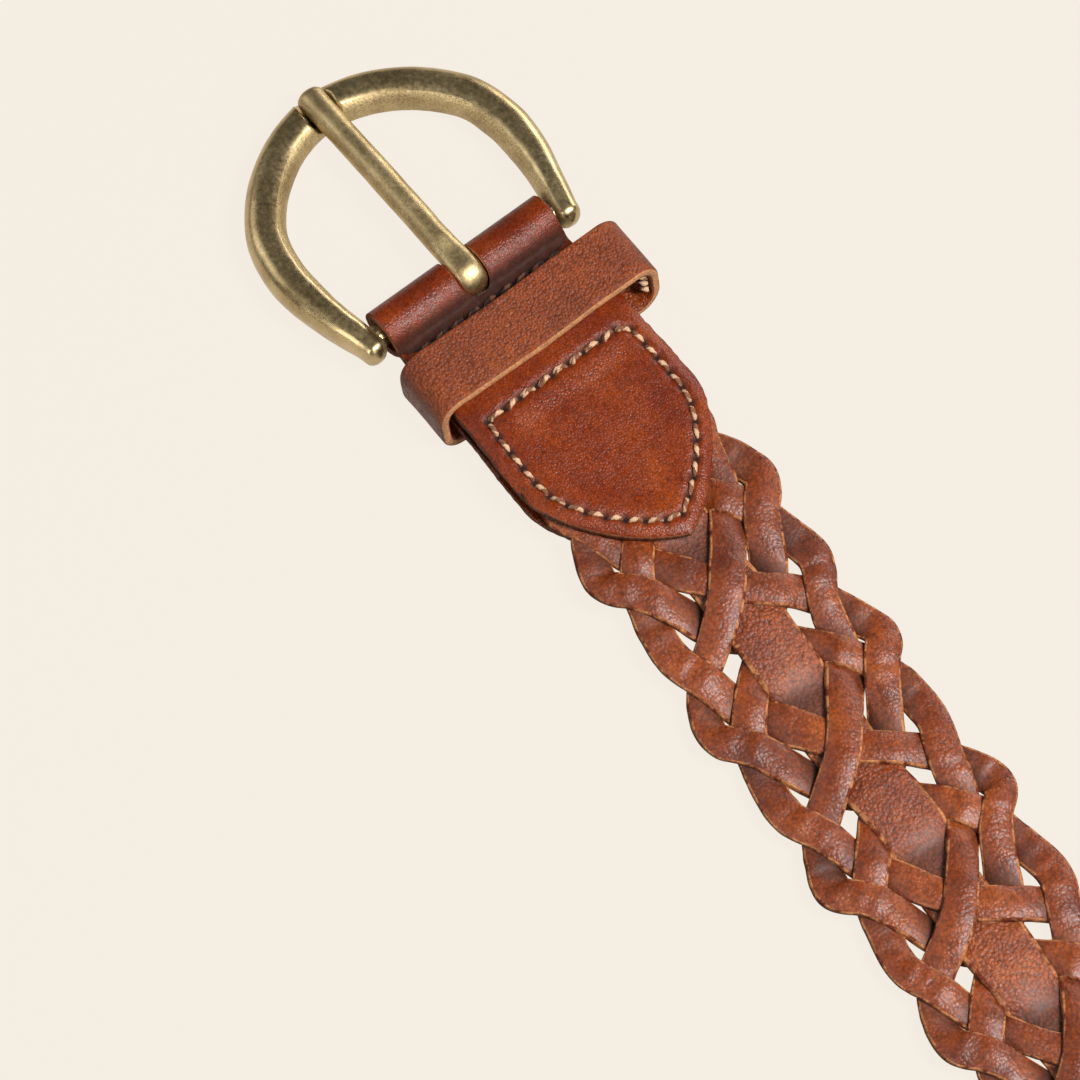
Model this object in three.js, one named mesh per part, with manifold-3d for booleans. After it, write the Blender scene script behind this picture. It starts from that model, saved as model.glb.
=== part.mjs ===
// A braided leather belt with a brass ring buckle, in millimetres, +Z up.
//
// The buckle's bar runs across the belt, along Y, and the belt leaves it towards +X: a folded
// chape with a stitched shield end, a loose keeper, a flat braid of six narrow strands and one
// wide centre strap, and the rest of the belt wound into a roll that stands on the table with
// the stitched tail tip in its core.
import * as THREE from 'three';
import Module from 'manifold-3d';
import { mergeVertices } from 'three/addons/utils/BufferGeometryUtils.js';

const wasm = await Module();
wasm.setup();

// Driving dimensions.
const CHAPE_WIDTH = 35;
const LEATHER = 1.9;              // thickness of each layer of the chape
const BAR_RADIUS = 2.0;
const FIT = 0.3;                  // clearance between pieces that touch or turn
const BAR_HEIGHT = 6.3;           // the bar's axis above the table
const RING_HALF_HEIGHT = 3.4;
const RING_TILT = THREE.MathUtils.degToRad(4.1);   // the crown rests on the table
const PRONG_RADIUS = 2.2;
const PRONG_LENGTH = 43.1;
const SLOT_WIDTH = 5.6;
const SLOT_REACH = 5.1;           // how far the slot runs behind the bar, above and below
const SHIELD_SHOULDER = 40;       // where the shield's sides start to close
const SHIELD_TIP = 60.2;
const SEAM_INSET = 3.0;           // stitch line to the shield's edge
const SEAM_FRONT = 24.5;          // the straight stitch row across
const CREASE = 6.9;               // the seam close behind the fold
const KEEPER_START = 8.3;
const KEEPER_LENGTH = 11.6;
const KEEPER_WIDTH = 45.7;
const KEEPER_SHIFT = 2.1;         // it sits towards its joined end
const KEEPER_CORNER = 4.2;
const KEEPER_THICKNESS = 1.8;
const THREAD_RADIUS = 0.3;
const STRAND_WIDTH = 3.5;
const STRAND_THICKNESS = 0.75;
const STRAP_WIDTH = 8.0;
const LAYER_STEP = 2.1;           // height from one layer of the braid to the next
const TIGHT_STEP = 1.58;          // the same between the leathers of the shield
const SHIELD_HEIGHT = 5.15;       // the belt's middle plane above the table at the shield's tip
const BRAID_HEIGHT = 3.2;         // the same along the braid
const BRAID_START = 27;
const BRAID_END = 217;
const BRAID_PERIOD = 32.4;        // from one crossing on the centre line to the next alike
const BRAID_PHASE = 70.2;
const BRAID_TURN = THREE.MathUtils.degToRad(-3.5); // the braid leaves the shield a little askew
const TURN_START = 50;
const TURN_LENGTH = 25;
const ROLL_CENTRE = 244;
const ROLL_RADIUS = 43.5;
const ROLL_WIDTH = 37;
const ROLL_CORE = 14;
const BELT_THICKNESS = 5.6;

const FOLD_INNER = BAR_RADIUS + FIT;
const FOLD_OUTER = FOLD_INNER + LEATHER;

const brass = new THREE.MeshStandardMaterial({ color: 0xa48a5c, roughness: 0.32, metalness: 1 });
const chapeLeather = new THREE.MeshStandardMaterial({ color: 0x83391f, roughness: 0.38 });
const keeperLeather = new THREE.MeshStandardMaterial({ color: 0x9a4b2b, roughness: 0.6 });
const braidLeather = new THREE.MeshStandardMaterial({ color: 0x8c4a30, roughness: 0.55 });
const thread = new THREE.MeshStandardMaterial({ color: 0xd9b892, roughness: 0.85 });

const belt = new THREE.Group();

function addPiece(name, geometry, material, parent = belt) {
  const piece = new THREE.Mesh(geometry, material);
  piece.name = name;
  parent.add(piece);
  return piece;
}

// Closed bodies from rings of points, and booleans.

function signedVolume(points, triangles) {
  const cross = new THREE.Vector3();
  let volume = 0;
  for (const [a, b, c] of triangles) {
    volume += points[a].dot(cross.crossVectors(points[b], points[c])) / 6;
  }
  return volume;
}

function closedBody(points, triangles) {
  const inward = signedVolume(points, triangles) < 0;
  const faces = inward ? triangles.map(([a, b, c]) => [a, c, b]) : triangles;
  const geometry = new THREE.BufferGeometry();
  const positions = points.flatMap((point) => point.toArray());
  geometry.setAttribute('position', new THREE.Float32BufferAttribute(positions, 3));
  geometry.setIndex(faces.flat());
  return geometry;
}

// Rings of equal length joined in order: capped at both ends, or closed into a hoop.
function loft(rings, hoop = false) {
  const sides = rings[0].length;
  const points = rings.flat();
  const triangles = [];
  const spans = hoop ? rings.length : rings.length - 1;
  for (let i = 0; i < spans; i += 1) {
    const here = i * sides;
    const next = ((i + 1) % rings.length) * sides;
    for (let j = 0; j < sides; j += 1) {
      const k = (j + 1) % sides;
      triangles.push([here + j, here + k, next + k], [here + j, next + k, next + j]);
    }
  }
  if (!hoop) {
    const last = (rings.length - 1) * sides;
    for (let j = 1; j < sides - 1; j += 1) {
      triangles.push([0, j + 1, j], [last, last + j, last + j + 1]);
    }
  }
  return closedBody(points, triangles);
}

function toSolid(geometry) {
  const bare = geometry.clone();
  bare.deleteAttribute('normal');
  bare.deleteAttribute('uv');
  const merged = mergeVertices(bare, 1e-4);
  return new wasm.Manifold(new wasm.Mesh({
    numProp: 3,
    vertProperties: new Float32Array(merged.getAttribute('position').array),
    triVerts: new Uint32Array(merged.getIndex().array),
  }));
}

function toGeometry(solid) {
  const mesh = solid.getMesh();
  const geometry = new THREE.BufferGeometry();
  geometry.setAttribute('position', new THREE.BufferAttribute(mesh.vertProperties, 3));
  geometry.setIndex(new THREE.BufferAttribute(mesh.triVerts, 1));
  return geometry;
}

// An outline drawn in a plane and extruded, centred on the plane.
function extruded(shape, depth, segments = 8) {
  const settings = { depth, bevelEnabled: false, curveSegments: segments };
  return new THREE.ExtrudeGeometry(shape, settings).translate(0, 0, -depth / 2);
}

// An outline drawn as (x, z), extruded across the belt.
function acrossBelt(shape, width, segments) {
  return extruded(shape, width, segments).rotateX(Math.PI / 2);
}

function smooth(start, end, value) {
  return THREE.MathUtils.smoothstep(value, start, end);
}

// The height of the belt's middle plane: the keeper lifts the chape, and the braid lies low.
function middleHeight(x) {
  const toShield = (SHIELD_HEIGHT - BAR_HEIGHT) * smooth(25, 60, x);
  const toBraid = (BRAID_HEIGHT - SHIELD_HEIGHT) * smooth(60, 88, x);
  return BAR_HEIGHT + toShield + toBraid;
}

// Geometry built about the bar's axis, laid along the belt's middle plane.
function laidDown(geometry) {
  const position = geometry.getAttribute('position');
  for (let i = 0; i < position.count; i += 1) {
    position.setZ(i, position.getZ(i) + middleHeight(position.getX(i)));
  }
  return geometry;
}

// The buckle: a ring with rounded lugs, a notch in its crown, and a bar through the lugs.

const buckle = new THREE.Group();
buckle.position.z = BAR_HEIGHT;
buckle.rotation.y = -RING_TILT;
belt.add(buckle);

// One half of the ring's centre line, from lug to crown: reach ahead of the bar, side, and
// half the ring's width there.
const RING_HALF_LINE = [
  [-3.7, 20.1, 1.9],
  [-2.6, 20.2, 2.2],
  [0, 20.5, 2.4],
  [6.4, 22.0, 2.8],
  [12.8, 23.0, 3.3],
  [19.2, 23.1, 3.5],
  [26.6, 21.1, 3.5],
  [33.5, 15.4, 3.5],
  [38.1, 8, 3.5],
];
const RING_CROWN = [39.8, 0, 3.5];
const RING_STEPS = 56;
const RING_SIDES = 14;

function ringLine() {
  const near = RING_HALF_LINE.map(([reach, side, half]) => new THREE.Vector3(-reach, side, half));
  const far = near.map((point) => new THREE.Vector3(point.x, -point.y, point.z)).reverse();
  const crown = new THREE.Vector3(-RING_CROWN[0], RING_CROWN[1], RING_CROWN[2]);
  return new THREE.CatmullRomCurve3([...near, crown, ...far], false, 'centripetal');
}

// A squarish oval: flat inner and outer walls under a rounded top and bottom.
function ringSection(halfWidth, halfHeight) {
  const section = [];
  for (let j = 0; j < RING_SIDES; j += 1) {
    const angle = (2 * Math.PI * j) / RING_SIDES;
    const across = Math.sign(Math.cos(angle)) * Math.abs(Math.cos(angle)) ** 0.75;
    const up = Math.sign(Math.sin(angle)) * Math.abs(Math.sin(angle)) ** 0.85;
    section.push([halfWidth * across, halfHeight * up]);
  }
  return section;
}

function ringBody() {
  const line = ringLine();
  const rings = [];
  for (let i = 0; i <= RING_STEPS; i += 1) {
    const centre = line.getPoint(i / RING_STEPS);
    const ahead = line.getTangent(i / RING_STEPS);
    const side = new THREE.Vector2(-ahead.y, ahead.x).normalize();
    const edge = Math.min(i, RING_STEPS - i);
    const halfHeight = RING_HALF_HEIGHT * Math.min(1, 0.72 + 0.14 * edge);
    rings.push(ringSection(centre.z, halfHeight).map(([across, up]) => new THREE.Vector3(
      centre.x + side.x * across,
      centre.y + side.y * across,
      up,
    )));
  }
  return loft(rings);
}

const PRONG_LIFT = 2.35;          // the prong's centre line above the bar's axis

function notchCutter() {
  const groove = new THREE.CylinderGeometry(2.95, 2.95, 12, 24);
  groove.rotateZ(Math.PI / 2);
  groove.translate(-RING_CROWN[0], -0.3, PRONG_LIFT + 0.55);
  return groove;
}

function barCutter() {
  return new THREE.CylinderGeometry(BAR_RADIUS + 0.2, BAR_RADIUS + 0.2, 60, 16);
}

const ring = toSolid(ringBody()).subtract(toSolid(notchCutter())).subtract(toSolid(barCutter()));
addPiece('buckle_ring', toGeometry(ring), brass, buckle);
addPiece('buckle_bar', new THREE.CylinderGeometry(BAR_RADIUS, BAR_RADIUS, 43, 16), brass, buckle);

// The prong: a round bar that narrows into an eye round the buckle's bar.

const EYE_RADIUS = 4.35;
const EYE_WIDTH = 4.2;

function prongShaft() {
  const stations = [
    [0.8, 1.6, 0.0],
    [-3, 2.1, 0.0],
    [-8, PRONG_RADIUS, 0.1],
    [-20, PRONG_RADIUS, 0.15],
    [-34, PRONG_RADIUS, 0.1],
    [-PRONG_LENGTH + 2.2, PRONG_RADIUS, 0.0],
    [-PRONG_LENGTH + 0.7, 1.9, -0.1],
    [-PRONG_LENGTH, 1.1, -0.2],
  ];
  const sides = 12;
  return loft(stations.map(([x, radius, rise]) => {
    const section = [];
    for (let j = 0; j < sides; j += 1) {
      const angle = (2 * Math.PI * j) / sides;
      section.push(new THREE.Vector3(
        x,
        radius * Math.cos(angle),
        PRONG_LIFT + rise + radius * Math.sin(angle),
      ));
    }
    return section;
  }));
}

const prongEye = toSolid(new THREE.CylinderGeometry(EYE_RADIUS, EYE_RADIUS, EYE_WIDTH, 24));
const prongBore = toSolid(new THREE.CylinderGeometry(BAR_RADIUS + FIT, BAR_RADIUS + FIT, 10, 20));
const prong = toSolid(prongShaft()).add(prongEye).subtract(prongBore);
addPiece('prong', toGeometry(prong), brass, buckle);

// The chape: one strip folded round the bar, its two ends cut to the same shield.

function shieldOutline(half = CHAPE_WIDTH / 2, tip = SHIELD_TIP, start = -20) {
  const shoulder = SHIELD_SHOULDER;
  const shape = new THREE.Shape();
  shape.moveTo(start, -half);
  shape.lineTo(24, -half);
  shape.quadraticCurveTo(32, -half - 0.5, shoulder, -half - 0.3);
  shape.bezierCurveTo(shoulder + 5, -half - 0.3, tip - 4, -half * 0.52, tip, 0);
  shape.bezierCurveTo(tip - 4, half * 0.52, shoulder + 5, half + 0.3, shoulder, half + 0.3);
  shape.quadraticCurveTo(32, half + 0.5, 24, half);
  shape.lineTo(start, half);
  return shape;
}

function foldedStrip() {
  const shape = new THREE.Shape();
  const end = SHIELD_TIP + 1;
  const steps = 14;
  shape.moveTo(0, FOLD_OUTER);
  shape.absarc(0, 0, FOLD_OUTER, Math.PI / 2, 1.5 * Math.PI, false);
  for (let i = 1; i <= steps; i += 1) {
    shape.lineTo((end * i) / steps, -FOLD_OUTER);
  }
  for (let i = steps; i >= 1; i -= 1) {
    shape.lineTo((end * i) / steps, -FOLD_INNER);
  }
  shape.lineTo(0, -FOLD_INNER);
  shape.absarc(0, 0, FOLD_INNER, 1.5 * Math.PI, Math.PI / 2, true);
  for (let i = 1; i <= steps; i += 1) {
    shape.lineTo((end * i) / steps, FOLD_INNER);
  }
  for (let i = steps; i >= 0; i -= 1) {
    shape.lineTo((end * i) / steps, FOLD_OUTER);
  }
  return acrossBelt(shape, CHAPE_WIDTH + 6, 12);
}

// The slot for the prong, cut through the fold from above and from below.
function slotCutter() {
  const half = SLOT_WIDTH / 2;
  const shape = new THREE.Shape();
  shape.moveTo(-12, -half);
  shape.lineTo(SLOT_REACH - half, -half);
  shape.absarc(SLOT_REACH - half, 0, half, -Math.PI / 2, Math.PI / 2, false);
  shape.lineTo(-12, half);
  return extruded(shape, 30, 6);
}

const shieldCutter = toSolid(extruded(shieldOutline(), 40, 8));
const chape = toSolid(foldedStrip()).intersect(shieldCutter).subtract(toSolid(slotCutter()));
addPiece('chape', laidDown(toGeometry(chape)), chapeLeather);

// A leather filler keeps the chape's two layers apart between the crease seam and the braid.
const CORE_START = 8.5;
const CORE_LENGTH = 17;
const core = new THREE.BoxGeometry(CORE_LENGTH, CHAPE_WIDTH - 1, 2 * (FOLD_INNER - FIT));
core.translate(CORE_START + CORE_LENGTH / 2, 0, 0);
addPiece('chape_core', laidDown(core), chapeLeather);

// Threads: each seam is one thread that lies along its stitch line.

function threadAlong(points, height, hoop = false, steps = 40) {
  const path = points.map(([x, y]) => new THREE.Vector3(x, y, height));
  const curve = new THREE.CatmullRomCurve3(path, hoop, 'centripetal');
  const rings = [];
  const count = hoop ? steps : steps + 1;
  for (let i = 0; i < count; i += 1) {
    const centre = curve.getPoint(i / steps);
    const ahead = curve.getTangent(i / steps);
    const side = new THREE.Vector3(-ahead.y, ahead.x, 0).normalize();
    const section = [];
    for (let j = 0; j < 5; j += 1) {
      const angle = (2 * Math.PI * j) / 5;
      section.push(new THREE.Vector3(0, 0, THREAD_RADIUS * Math.sin(angle))
        .addScaledVector(side, THREAD_RADIUS * Math.cos(angle)).add(centre));
    }
    rings.push(section);
  }
  return loft(rings, hoop);
}

const THREAD_HEIGHT = FOLD_OUTER + THREAD_RADIUS + FIT / 2;

function creaseLine() {
  const half = CHAPE_WIDTH / 2 - 2.2;
  return [[CREASE, -half], [CREASE, 0], [CREASE, half]];
}

function shieldSeam() {
  const half = CHAPE_WIDTH / 2 - SEAM_INSET;
  const tip = SHIELD_TIP - SEAM_INSET;
  const right = [[SEAM_FRONT, 0], [SEAM_FRONT, half - 1], [SEAM_FRONT + 1, half],
    [31, half + 0.2], [SHIELD_SHOULDER - 1.5, half + 0.2], [46, half * 0.79],
    [52, half * 0.42], [tip - 1.2, half * 0.14]];
  const left = right.slice(1).map(([x, y]) => [x, -y]).reverse();
  return [...right, [tip, 0], ...left];
}

addPiece('crease_thread', laidDown(threadAlong(creaseLine(), THREAD_HEIGHT, false, 12)), thread);
addPiece('shield_thread_front', laidDown(threadAlong(shieldSeam(), THREAD_HEIGHT, true)), thread);
addPiece('shield_thread_back', laidDown(threadAlong(shieldSeam(), -THREAD_HEIGHT, true)), thread);

// The keeper: a loose leather loop with round ends, and the stitches that join it underneath.

const KEEPER_HEIGHT = 2 * (FOLD_OUTER + KEEPER_THICKNESS + 0.3);

const KEEPER_LEAN = 0.143;         // its underside sits further towards the tail

function roundedBox(path, width, height, radius, clockwise) {
  const reach = width / 2 - radius;
  const rise = height / 2 - radius;
  const corners = [[reach, -rise, -0.5], [reach, rise, 0], [-reach, rise, 0.5], [-reach, -rise, 1]];
  const order = clockwise ? [...corners].reverse() : corners;
  order.forEach(([x, y, quarter], index) => {
    const first = quarter * Math.PI;
    const last = first + Math.PI / 2;
    const [from, to] = clockwise ? [last, first] : [first, last];
    if (index === 0) path.moveTo(x + radius * Math.cos(from), y + radius * Math.sin(from));
    path.absarc(x, y, radius, from, to, clockwise);
  });
  return path;
}

function leaning(geometry) {
  const position = geometry.getAttribute('position');
  const top = BAR_HEIGHT + KEEPER_HEIGHT / 2;
  for (let i = 0; i < position.count; i += 1) {
    position.setX(i, position.getX(i) + (top - position.getZ(i)) * KEEPER_LEAN);
  }
  return geometry;
}

function keeperBody() {
  const inside = 2 * KEEPER_THICKNESS;
  const width = KEEPER_WIDTH - inside;
  const height = KEEPER_HEIGHT - inside;
  const inner = KEEPER_CORNER - KEEPER_THICKNESS;
  const shape = roundedBox(new THREE.Shape(), KEEPER_WIDTH, KEEPER_HEIGHT, KEEPER_CORNER, false);
  shape.holes.push(roundedBox(new THREE.Path(), width, height, inner, true));
  const body = extruded(shape, KEEPER_LENGTH, 8);
  body.rotateX(Math.PI / 2);
  body.rotateZ(Math.PI / 2);
  body.translate(KEEPER_START + KEEPER_LENGTH / 2, KEEPER_SHIFT, BAR_HEIGHT);
  return leaning(body);
}

addPiece('keeper_loop', keeperBody(), keeperLeather);

function keeperStitches() {
  const inset = 1.8;
  const side = KEEPER_SHIFT + KEEPER_WIDTH / 2 - KEEPER_THICKNESS - 1.5;
  const line = [[KEEPER_START + inset, side], [KEEPER_START + KEEPER_LENGTH - inset, side]];
  return leaning(threadAlong(line, 0, false, 6).translate(0, 0, BAR_HEIGHT));
}

addPiece('keeper_thread', keeperStitches(), thread);

// The braid. Each leg of a strand crosses the belt from one edge to the other. A leg's points
// are distance along the belt from its own even crossing, distance across, and layer: +1 and -1
// at a crossing of two, up to +2 and -2 where the centre strap crosses as well.

const EVEN_OVER = [
  [-28.4, 14.6, 0], [-22.2, 12.1, 1], [-12.6, 9.0, -1.2], [-5.5, 4, 1.3], [0, 0, 2.1],
  [4.8, -5.3, 2], [10.2, -12.1, -1], [14.5, -15.6, -0.6],
];
const EVEN_UNDER = [
  [-28.4, 14.6, 0], [-22.2, 12.1, 1], [-12.6, 9.0, -1.2], [-5.5, 4, 0], [0, 0, 0],
  [4.8, -5.3, 2], [10.2, -12.1, -1], [14.5, -15.6, -0.6],
];
const ODD_OVER = [
  [-12.4, 16.3, 0.2], [-7.2, 12.3, 1], [4.8, 5.3, -2], [9.8, 0, 0], [15, -5, 0.1],
  [19.8, -9.0, 1.2], [25.2, -12.3, -1], [31, -14.3, -0.6],
];
const ODD_UNDER = [
  [-12.4, 16.3, 0.2], [-7.2, 12.3, 1], [4.8, 5.3, -2], [9.8, 0, -2.1], [15, -5, -1.3],
  [19.8, -9.0, 1.2], [25.2, -12.3, -1], [31, -14.3, -0.6],
];
const STRAP_WAVE = [[0, -2.1], [4.8, 0], [9.8, 2.1], [14.6, 2], [20.4, -0.2], [26.4, -2]];

function legAt(leg, base, side) {
  return leg.map(([along, across, layer]) => new THREE.Vector3(base + along, side * across, layer));
}

// Strands that turn over at the even crossings, and those at the odd ones.
function strandRoute(odd, base) {
  const points = [];
  for (let turn = -1; turn <= 3; turn += 1) {
    const start = base + turn * 3 * BRAID_PERIOD;
    if (odd) {
      points.push(...legAt(ODD_OVER, start, 1));
      points.push(...legAt(EVEN_UNDER, start + 2 * BRAID_PERIOD, -1));
    } else {
      points.push(...legAt(EVEN_OVER, start, 1));
      points.push(...legAt(ODD_UNDER, start + BRAID_PERIOD, -1));
    }
  }
  return points;
}

function strapRoute() {
  const points = [];
  for (let turn = -3; turn <= 6; turn += 1) {
    for (const [along, layer] of STRAP_WAVE) {
      points.push(new THREE.Vector3(turn * BRAID_PERIOD + along, 0, layer));
    }
  }
  return points;
}

// A place on the belt from its distance along, distance across and height over the middle.
function onBelt(along, across, height) {
  const swept = THREE.MathUtils.clamp((along - TURN_START) / TURN_LENGTH, 0, 1);
  const angle = BRAID_TURN * swept;
  const radius = TURN_LENGTH / BRAID_TURN;
  const before = Math.min(along, TURN_START);
  const after = Math.max(along - TURN_START - TURN_LENGTH, 0);
  const x = before + radius * Math.sin(angle) + after * Math.cos(angle) - across * Math.sin(angle);
  const y = radius * (1 - Math.cos(angle)) + after * Math.sin(angle) + across * Math.cos(angle);
  return new THREE.Vector3(x, y, height + middleHeight(along));
}

function layerHeight(along, layer) {
  const step = THREE.MathUtils.lerp(TIGHT_STEP, LAYER_STEP, smooth(56, 66, along));
  return (layer * step) / 2;
}

function flatStrip(route, width, spacing) {
  const curve = new THREE.CatmullRomCurve3(route, false, 'centripetal');
  curve.arcLengthDivisions = 2000;
  const steps = Math.round(curve.getLength() / spacing);
  const rings = [];
  for (let i = 0; i <= steps; i += 1) {
    const centre = curve.getPointAt(i / steps);
    const along = centre.x + BRAID_PHASE;
    if (along < BRAID_START || along > BRAID_END) continue;
    const ahead = curve.getTangentAt(i / steps);
    const side = new THREE.Vector2(-ahead.y, ahead.x).normalize().multiplyScalar(width / 2);
    const corners = [[1, 1], [-1, 1], [-1, -1], [1, -1]];
    rings.push(corners.map(([edge, face]) => onBelt(
      along + edge * side.x,
      centre.y + edge * side.y,
      layerHeight(along, centre.z) + (face * STRAND_THICKNESS) / 2,
    )));
  }
  return loft(rings);
}

for (let i = 0; i < 6; i += 1) {
  const odd = i % 2 === 1;
  const route = strandRoute(odd, Math.floor(i / 2) * BRAID_PERIOD);
  addPiece(`strand_${i + 1}`, flatStrip(route, STRAND_WIDTH, 2.6), braidLeather);
}
addPiece('centre_strap', flatStrip(strapRoute(), STRAP_WIDTH, 2.2), braidLeather);

// The roll: the outermost turn runs in along the table, and the core is open.

const roll = new THREE.Group();
const rollSeat = onBelt(ROLL_CENTRE, 0, 0);
roll.position.set(rollSeat.x, rollSeat.y, ROLL_RADIUS);
roll.rotation.z = BRAID_TURN;
belt.add(roll);

function rolledBody() {
  const entry = BRAID_END + 3.5 - ROLL_CENTRE;
  const shoulder = Math.asin((ROLL_RADIUS - BELT_THICKNESS) / ROLL_RADIUS);
  const shape = new THREE.Shape();
  shape.moveTo(entry, -ROLL_RADIUS);
  shape.lineTo(0, -ROLL_RADIUS);
  shape.absarc(0, 0, ROLL_RADIUS, -Math.PI / 2, Math.PI + shoulder, false);
  shape.lineTo(entry, BELT_THICKNESS - ROLL_RADIUS);
  const core = new THREE.Path();
  core.absarc(0, 0, ROLL_CORE, 0, 2 * Math.PI, true);
  shape.holes.push(core);
  return acrossBelt(shape, ROLL_WIDTH, 36);
}

addPiece('rolled_stretch', rolledBody(), braidLeather, roll);

// The tail tip: two stitched layers of leather curled in the core.
function curledLayer(outer, thickness, width) {
  const shape = new THREE.Shape();
  shape.absarc(0, 0, outer, -0.6 * Math.PI, 0.7 * Math.PI, false);
  shape.absarc(0, 0, outer - thickness, 0.7 * Math.PI, -0.6 * Math.PI, true);
  return acrossBelt(shape, width, 20);
}

addPiece('tip_back', curledLayer(13.5, 1.8, 33), chapeLeather, roll);
addPiece('tip_front', curledLayer(11.4, 1.8, 33), chapeLeather, roll);
addPiece('tip_thread', curledLayer(9.3, 0.7, 26), thread, roll);

// The origin: under the middle of the belt's box, on the table.
belt.updateMatrixWorld(true);
const box = new THREE.Box3().setFromObject(belt, true);
const middle = box.getCenter(new THREE.Vector3());
belt.position.set(-middle.x, -middle.y, -box.min.z);

export default belt;
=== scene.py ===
"""A braided leather belt with a brass ring buckle: the looks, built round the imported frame."""
import math

import bmesh
import bpy
import numpy as np
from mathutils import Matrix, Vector


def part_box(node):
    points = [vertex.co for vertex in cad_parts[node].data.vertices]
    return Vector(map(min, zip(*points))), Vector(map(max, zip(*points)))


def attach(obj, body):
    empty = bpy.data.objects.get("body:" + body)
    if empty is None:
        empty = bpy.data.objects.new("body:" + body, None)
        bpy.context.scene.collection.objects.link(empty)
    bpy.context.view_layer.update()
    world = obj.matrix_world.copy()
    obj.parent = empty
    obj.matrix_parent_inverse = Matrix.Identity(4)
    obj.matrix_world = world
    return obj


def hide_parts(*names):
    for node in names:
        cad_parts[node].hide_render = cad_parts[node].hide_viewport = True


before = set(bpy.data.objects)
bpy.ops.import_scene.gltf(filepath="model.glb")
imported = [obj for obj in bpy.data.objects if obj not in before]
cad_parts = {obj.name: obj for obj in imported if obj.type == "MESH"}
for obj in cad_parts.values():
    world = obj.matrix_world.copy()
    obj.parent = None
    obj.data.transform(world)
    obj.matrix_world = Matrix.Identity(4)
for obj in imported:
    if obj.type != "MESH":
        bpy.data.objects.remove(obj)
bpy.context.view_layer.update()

# Sizes in millimetres, measured from the middle of the buckle's bar, with Z from the table.
CHAPE_WIDTH = 35.0
LEATHER = 1.9
BAR_RADIUS = 2.0
FIT = 0.3
RING_HALF_HEIGHT = 3.4
RING_TILT = math.radians(4.1)
PRONG_LIFT = 2.35
PRONG_LENGTH = 43.1
SLOT_WIDTH = 5.6
SLOT_REACH = 5.1
SHIELD_TIP = 60.2
SEAM_INSET = 3.0
SEAM_FRONT = 24.5
CREASE = 6.9
KEEPER_THICKNESS = 1.8
KEEPER_CORNER = 4.2
KEEPER_LEAN = 0.143
SHIELD_HEIGHT = 5.15
BRAID_HEIGHT = 3.2
BRAID_PERIOD = 32.4
BRAID_PHASE = 70.2
BRAID_START = 33.0
BRAID_TURN = math.radians(-3.5)
TURN_START = 50.0
TURN_LENGTH = 25.0
ROLL_PITCH = 5.95
ROLL_CORE = 14.0
STRAND_WIDTH = 5.9
STRAND_THICKNESS = 1.75
BRAID_DEPTH = 6.4
STRAP_WIDTH = 11.0
STRAP_THICKNESS = 1.9
STITCH = 3.3

FOLD_INNER = BAR_RADIUS + FIT
FOLD_OUTER = FOLD_INNER + LEATHER

bar_low, bar_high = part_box("buckle_bar")
BAR = 1000 * (bar_low + bar_high) / 2
ORIGIN = np.array([BAR.x, BAR.y, 0.0])
BAR_HEIGHT = BAR.z
roll_low, roll_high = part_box("rolled_stretch")
ROLL_RADIUS = 500 * (roll_high.z - roll_low.z)


# -------- meshes

def new_object(name, data):
    thing = bpy.data.objects.new(name, data)
    bpy.context.scene.collection.objects.link(thing)
    return thing


def add_piece(name, points, faces, *materials):
    """A new object, its faces turned outwards."""
    mesh = bpy.data.meshes.new(name)
    mesh.from_pydata(points.tolist(), [], faces)
    for material in materials:
        mesh.materials.append(material)
    work = bmesh.new()
    work.from_mesh(mesh)
    bmesh.ops.recalc_face_normals(work, faces=work.faces)
    work.to_mesh(mesh)
    work.free()
    return new_object(name, mesh)


def make_mesh(name, points, faces, materials, body, node, face_materials=0):
    """A piece from points in millimetres about the bar, riding on a body for a CAD node."""
    piece = add_piece(name, (np.asarray(points, float) + ORIGIN) / 1000, faces, *materials)
    polygons = piece.data.polygons
    polygons.foreach_set("material_index", np.full(len(polygons), face_materials, np.int32))
    polygons.foreach_set("use_smooth", np.full(len(polygons), True))
    piece.data.update()
    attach(piece, body)
    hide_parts(node)
    return piece


def make_loft(name, rings, materials, body, node, face_materials=0, hoop=False):
    """A piece whose skin joins rings of points in order."""
    count, sides = rings.shape[:2]
    return make_mesh(name, rings.reshape(-1, 3), loft_faces(count, sides, hoop), materials,
                     body, node, face_materials)


def loft_faces(count, sides, hoop=False, first=0):
    """Faces that join count rings of sides points, in order, as a hoop or with closed ends."""
    faces = []
    for i in range(count if hoop else count - 1):
        here = first + i * sides
        after = first + ((i + 1) % count) * sides
        for j in range(sides):
            k = (j + 1) % sides
            faces.append((here + j, here + k, after + k, after + j))
    if not hoop:
        last = first + (count - 1) * sides
        faces.append(tuple(range(first + sides - 1, first - 1, -1)))
        faces.append(tuple(range(last, last + sides)))
    return faces


def unit(vectors):
    lengths = np.linalg.norm(vectors, axis=-1, keepdims=True)
    return vectors / np.maximum(lengths, 1e-9)


def smoothstep(start, end, value):
    t = np.clip((np.asarray(value, float) - start) / (end - start), 0, 1)
    return t * t * (3 - 2 * t)


def bump_at(value, middle, reach):
    """1 at the middle, falling away to nothing on both sides of it."""
    return np.exp(-((value - middle) / reach) ** 2)


def squared_off(wave, power):
    """A sine or cosine with its round swing made fuller."""
    return np.sign(wave) * np.abs(wave) ** power


def rounded_end(distance, reach, least, power=2.0):
    """A share of the full width that grows from least at an end to 1 within its reach."""
    share = 1 - np.clip(distance / reach, 0, 1)
    return np.sqrt(np.clip(1 - share ** power, least, 1))


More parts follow.
